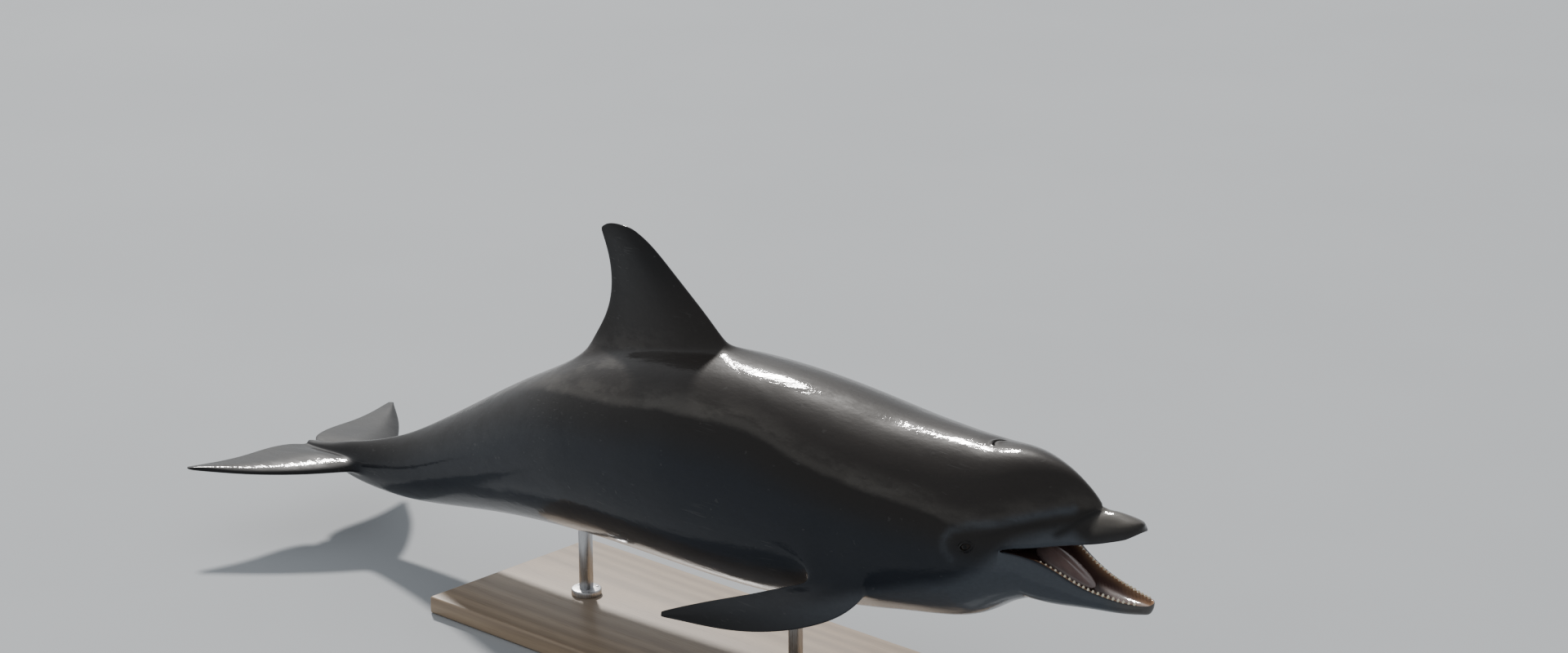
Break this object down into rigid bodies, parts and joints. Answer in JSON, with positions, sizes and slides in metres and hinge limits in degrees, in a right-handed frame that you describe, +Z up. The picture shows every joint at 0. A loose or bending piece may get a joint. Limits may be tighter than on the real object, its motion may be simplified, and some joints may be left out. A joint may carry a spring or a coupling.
{
  "type": "bottlenose dolphin display model",
  "caption": "Life-size bottlenose dolphin in a gentle arch with its mouth wide open, held on a flat rectangular display stand by short upright rods.",
  "frame": {"origin": "middle of the underside of the stand's base", "axes": "+Z up, +X along the body towards the snout, +Y to the dolphin's left"},
  "size_m": [2.608, 0.753, 0.9303],
  "materials": {
    "skin": "dark slate-grey countershaded skin with a wet gloss, painted on cast resin",
    "pale_skin": "pale grey skin of the lower jaw with a wet gloss",
    "tongue": "moist pinkish grey",
    "eye": "polished, very dark brown",
    "teeth": "glossy ivory; these are part of the two jaws' solids",
    "stand_base": "oak with a satin clear lacquer",
    "steel": "brushed"
  },
  "bodies": {
    "root": {"head": "skin", "lower_jaw": "pale_skin", "tongue": "tongue", "eye_left": "eye", "eye_right": "eye", "chest": "skin", "belly": "skin", "loin": "skin", "tail_stock": "skin", "fluke_root": "skin", "fluke_left": "skin", "fluke_right": "skin", "flipper_left": "skin", "flipper_right": "skin", "dorsal_fin": "skin", "stand_base": "stand_base", "stand_rod_front": "steel", "stand_rod_rear": "steel", "stand_collar_front": "steel", "stand_collar_rear": "steel"}
  },
  "joints": []
}
